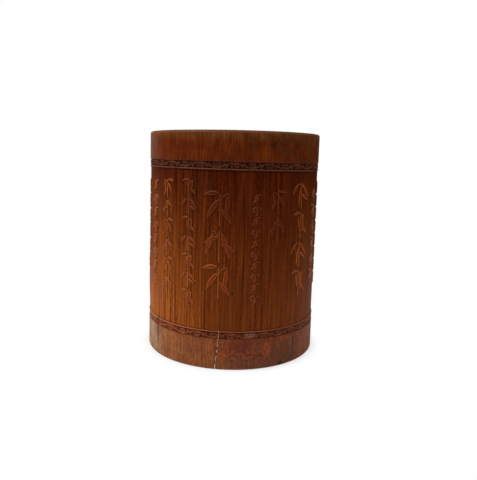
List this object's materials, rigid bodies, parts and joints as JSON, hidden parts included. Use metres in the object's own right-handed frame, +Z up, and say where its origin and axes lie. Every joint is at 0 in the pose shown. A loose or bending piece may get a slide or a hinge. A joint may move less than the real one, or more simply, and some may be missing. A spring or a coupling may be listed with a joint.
{
  "type": "brush pot",
  "caption": "Round carved bamboo pot, open at the top, that stands on its foot and holds writing brushes upright.",
  "frame": {"origin": "centre of the foot, on the surface that the pot stands on", "axes": "+Z up along the bore to the mouth; -Y is the pictured front, +X to its right"},
  "size_m": [0.1204, 0.1204, 0.1518],
  "materials": {
    "bamboo_ground": "waxed, fine vertical fibre",
    "bamboo_skin": "polished skin, satin",
    "bamboo_relief": "polished skin, satin, worn edges",
    "carved_recess": "dark in the cuts, satin on the scrolls",
    "floor_wood": "turned, oiled",
    "pale_filler": "dry putty, matte"
  },
  "bodies": {
    "root": {"culm_wall": "bamboo_ground", "floor_disc": "floor_wood", "rim_band": "bamboo_skin", "upper_frieze": "carved_recess", "upper_fillet": "bamboo_skin", "lower_fillet": "bamboo_skin", "lower_frieze": "carved_recess", "foot_band": "bamboo_skin", "split_filler": "pale_filler", "spray_01": "bamboo_relief", "spray_02": "bamboo_relief", "spray_03": "bamboo_relief", "spray_04": "bamboo_relief", "spray_05": "bamboo_relief", "spray_06": "bamboo_relief", "spray_07": "bamboo_relief", "spray_08": "bamboo_relief", "spray_09": "bamboo_relief", "spray_10": "bamboo_relief", "spray_11": "bamboo_relief", "spray_12": "bamboo_relief", "spray_13": "bamboo_relief", "spray_14": "bamboo_relief", "spray_15": "bamboo_relief", "spray_16": "bamboo_relief", "spray_17": "bamboo_relief", "spray_18": "bamboo_relief", "spray_19": "bamboo_relief", "spray_20": "bamboo_relief"}
  },
  "joints": []
}
